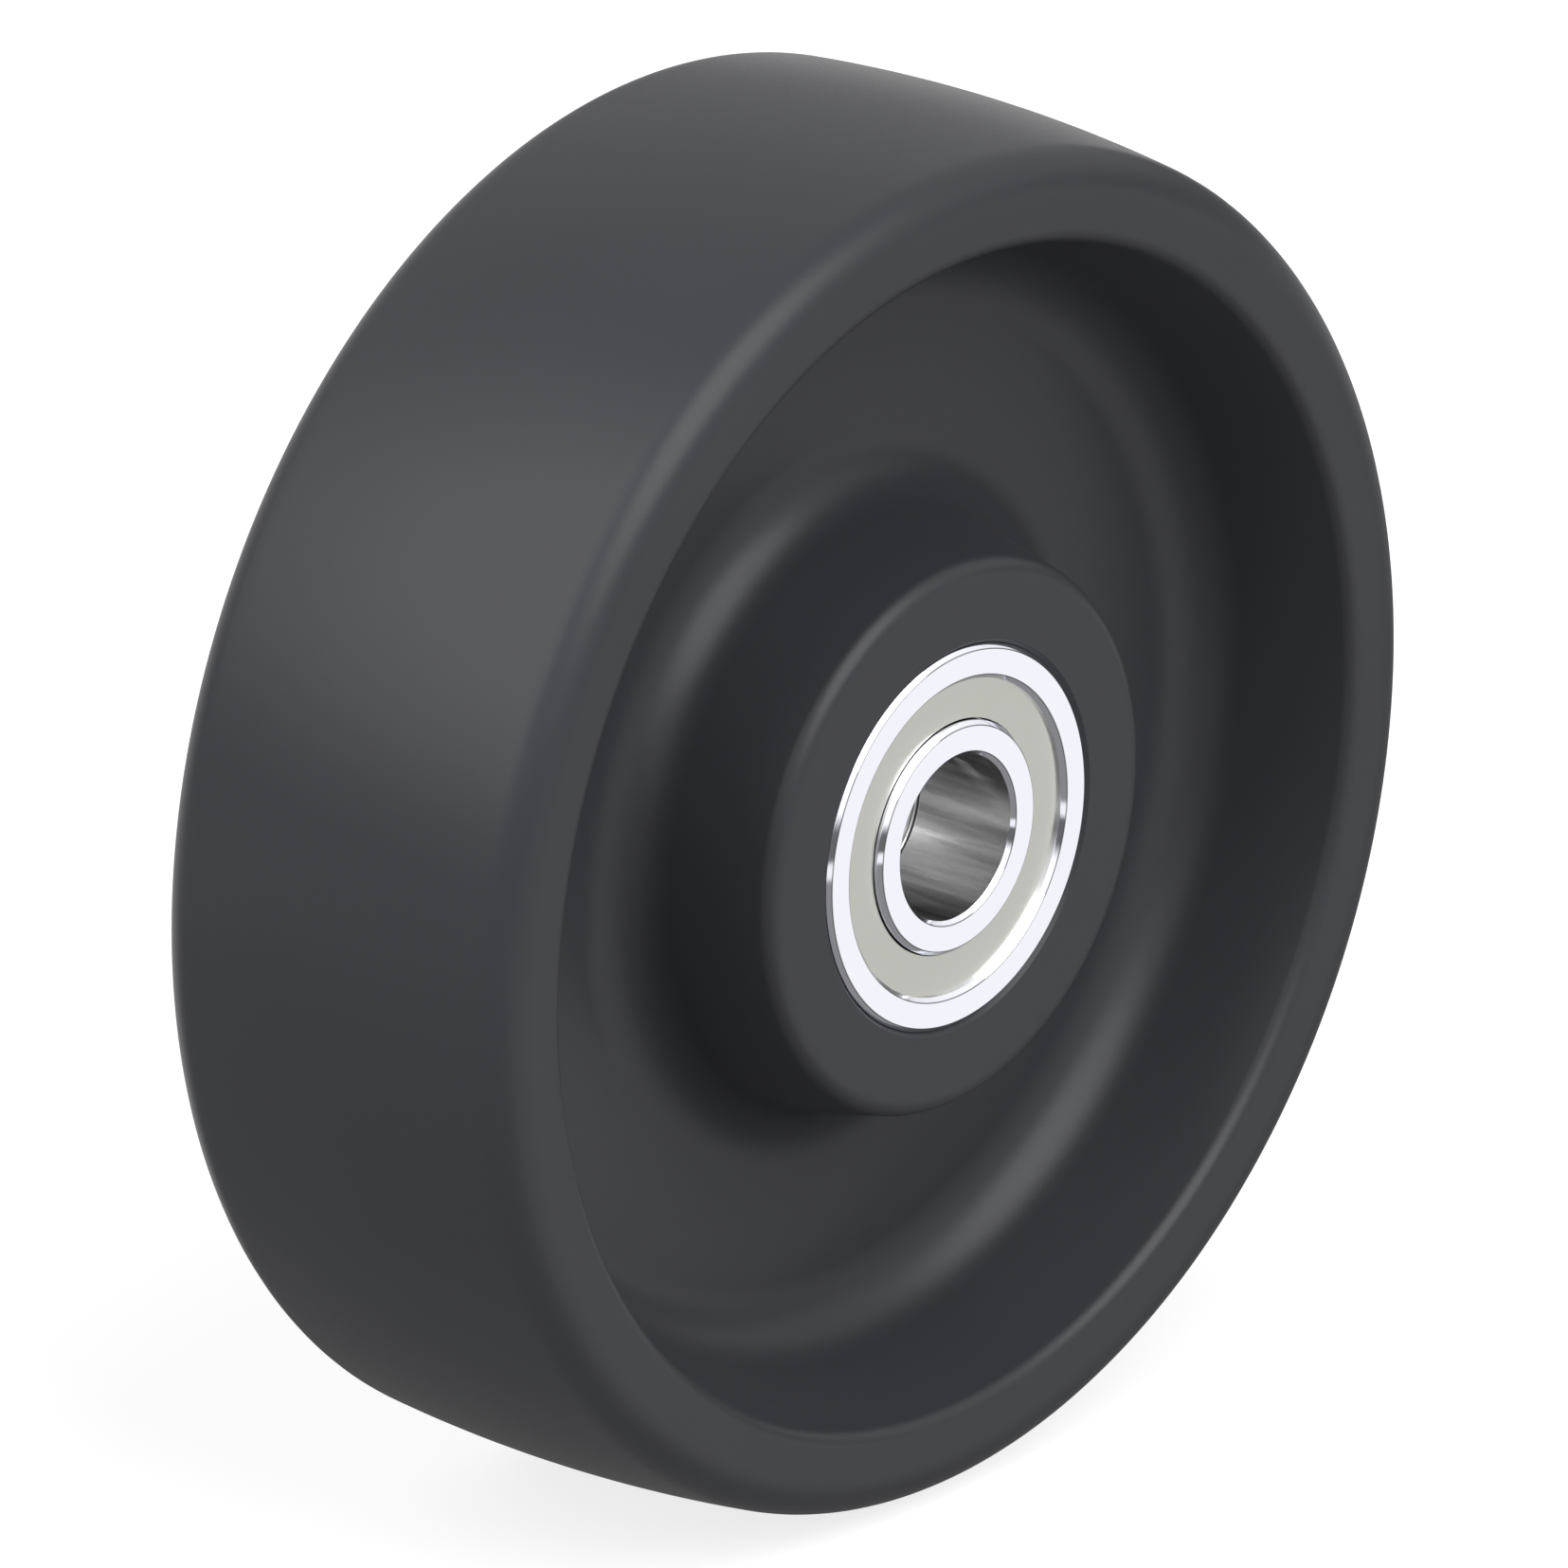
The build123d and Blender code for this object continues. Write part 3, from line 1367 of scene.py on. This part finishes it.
@dataclass(frozen=True)
class Surroundings:
    """What gloss mirrors: a bright sky, a dim floor with a white band, and light patches.

    Attributes:
        sky: How bright it is above.
        sky_rise: The heights at which the sky starts to brighten and is full, from 0 to 1.
        horizon_level: The share of the sky's brightness that is left below that.
        floor_level: How bright the floor is close to the wheel.
        band_rise: The heights at which the white band on the floor starts and is full.
        band_fall: The heights at which it starts to dim and ends.
        far_floor_level: The share of the floor's brightness that is left beyond the band.
        patches: The light in front and behind, which the flat faces mirror, and at the back
            right, which the top of the tread mirrors.
    """

    sky: Sky = Sky(level=0.942, slope=(-0.104, -0.225, 0.167))
    sky_rise: Span = (0.06, 0.24)
    horizon_level: float = 0.12
    floor_level: float = 0.26
    band_rise: Span = (-0.30, -0.24)
    band_fall: Span = (-0.18, -0.11)
    far_floor_level: float = 0.3
    patches: tuple[Patch, ...] = (
        Patch(towards=(0.30, -0.90, -0.25), reach=(0.55, 0.75)),
        Patch(towards=(0.20, 0.96, -0.16), reach=(0.42, 0.62)),
        Patch(towards=(0.80, 0.60, -0.06), reach=(0.08, 0.22)),
    )

    def along(self, graph: Graph, way: Socket) -> Socket:
        """Adds the nodes that give their brightness.

        Args:
            graph: The world's graph.
            way: The direction that is looked in.

        Returns:
            The brightness in that direction.
        """
        height = graph.node("ShaderNodeSeparateXYZ", {0: way}).outputs["Z"]
        above = graph.fade(height, self.sky_rise, (self.horizon_level, 1.0))
        near = graph.fade(height, self.band_rise, (self.floor_level, 1.0))
        far = graph.fade(height, self.band_fall, (1.0, self.far_floor_level * self.floor_level))
        sky = graph.math("MULTIPLY", self.sky.along(graph, way), above)
        bright = graph.math("MAXIMUM", sky, graph.math("MULTIPLY", near, far))
        for patch in self.patches:
            bright = graph.math("MAXIMUM", bright, patch.along(graph, way))
        return bright


@dataclass
class Studio:
    """The floor, the light and the camera.

    Attributes:
        azimuth: How far the camera stands round the wheel, in degrees, from looking along +Y.
        elevation: How far it looks down, in degrees.
        view_width: The width that it takes in, in metres.
        aim_right: How far its aim lies to the right of the wheel's centre, in metres.
        aim_down: How far its aim lies below the wheel's centre, in metres.
        distance: How far off it stands, in metres.
        floor_size: The floor's width, in metres.
        floor_shade: The floor's colour as it lights the wheel.
        floor_seen: The floor's colour as it is seen.
        floor_lift: The light that brings the floor to white where it is seen.
        haze: The light from all round that shades the wheel.
        surroundings: What gloss shows.
        lamps: The lamps.
    """

    azimuth: float = -50.0
    elevation: float = 22.0
    view_width: float = 0.13669
    aim_right: float = 0.00012
    aim_down: float = 0.00005
    distance: float = 1.5
    floor_size: float = 12.0
    floor_shade: float = 0.90
    floor_seen: float = 0.30
    floor_lift: float = 0.80
    haze: Sky = Sky(level=0.286, slope=(-0.100, -0.083, -0.149))
    surroundings: Surroundings = Surroundings()
    lamps: tuple[Lamp, ...] = (
        Lamp("key_above_front", towards=(-0.025, -0.667, 0.745), strength=2.72, spread=54.4),
        Lamp("fill_left_back", towards=(-0.701, 0.312, 0.641), strength=2.00, spread=59.7),
    )

    @staticmethod
    def _rays(graph: Graph) -> tuple[Socket, Socket]:
        """Adds what tells the rays apart.

        Args:
            graph: The floor's or the world's graph.

        Returns:
            Whether a ray shows the background, straight or through glass, and whether it is
            one of gloss.
        """
        rays = graph.node("ShaderNodeLightPath").outputs
        shows = graph.math("MAXIMUM", rays["Is Camera Ray"], rays["Is Transmission Ray"])
        return shows, rays["Is Glossy Ray"]

    def _build_floor(self) -> None:
        """Lays the floor under the tread. Gloss sees the surroundings in its place."""
        material = bpy.data.materials.new("studio_floor")
        graph = Graph.within(material)
        shows, gloss = self._rays(graph)
        painted_shades = {"Factor": shows, "A": self.floor_shade, "B": self.floor_seen}
        shade = graph.grey(graph.out("ShaderNodeMix", painted_shades))
        diffuse = graph.out("ShaderNodeBsdfDiffuse", {"Color": shade})
        lifted = graph.math("MULTIPLY", shows, self.floor_lift)
        lift = graph.out("ShaderNodeEmission", {"Strength": lifted})
        both = graph.out("ShaderNodeAddShader", {0: diffuse, 1: lift})
        clear = graph.out("ShaderNodeBsdfTransparent")
        surface = graph.out("ShaderNodeMixShader", {0: gloss, 1: both, 2: clear})
        graph.node("ShaderNodeOutputMaterial", {"Surface": surface})
        half = self.floor_size / 2
        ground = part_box("wheel_body")[0].z
        corners = [(x * half, y * half, ground) for x, y in ((-1, -1), (1, -1), (1, 1), (-1, 1))]
        mesh = bpy.data.meshes.new("studio_floor")
        mesh.from_pydata(corners, [], [(0, 1, 2, 3)])
        mesh.materials.append(material)
        floor = bpy.data.objects.new("studio_floor", mesh)
        bpy.context.scene.collection.objects.link(floor)

    def _build_world(self) -> None:
        """Lights the wheel from all round, and shows white where the world itself is seen."""
        world = bpy.data.worlds.new("studio_world")
        graph = Graph.within(world)
        way = graph.node("ShaderNodeTexCoord").outputs["Generated"]
        shows, gloss = self._rays(graph)
        lit, mirrored = self.haze.along(graph, way), self.surroundings.along(graph, way)
        level = graph.out("ShaderNodeMix", {"Factor": gloss, "A": lit, "B": mirrored})
        light = {"Color": (1.0, 1.0, 1.0, 1.0), "Strength": graph.math("MAXIMUM", level, shows)}
        surface = graph.out("ShaderNodeBackground", light)
        graph.node("ShaderNodeOutputWorld", {"Surface": surface})
        bpy.context.scene.world = world

    def _build_camera(self) -> None:
        """Stands the camera at the photograph's angle. It sees without perspective."""
        turn, rise = math.radians(self.azimuth), math.radians(self.elevation)
        level = math.cos(rise)
        back = Vector((math.sin(turn) * level, -math.cos(turn) * level, math.sin(rise)))
        facing = (-back).to_track_quat("-Z", "Y")
        data = bpy.data.cameras.new("studio_camera")
        data.type = "ORTHO"
        data.ortho_scale = self.view_width
        camera = bpy.data.objects.new("studio_camera", data)
        aim = facing @ Vector((self.aim_right, -self.aim_down, 0))
        camera.matrix_world = Matrix.LocRotScale(aim + back * self.distance, facing, None)
        bpy.context.scene.collection.objects.link(camera)
        bpy.context.scene.camera = camera

    def build(self) -> None:
        """Builds the studio."""
        self._build_floor()
        self._build_world()
        for lamp in self.lamps:
            lamp.build()
        self._build_camera()
        bpy.context.scene.view_settings.view_transform = "Standard"


def main() -> None:
    """Builds the wheel and the studio, and reports each piece."""
    logging.basicConfig(level=logging.INFO, format="%(name)s: %(message)s")
    effects = Effects()
    materials = {slot: finish.material(effects) for slot, finish in FINISHES.items()}
    workshop = Workshop()
    Studio().build()
    WheelMoulding(workshop, materials).build()
    SpacerTube(workshop, materials).build()
    for end in End:
        BallBearing(workshop, materials, end).build()


if __name__ == "__main__":
    main()
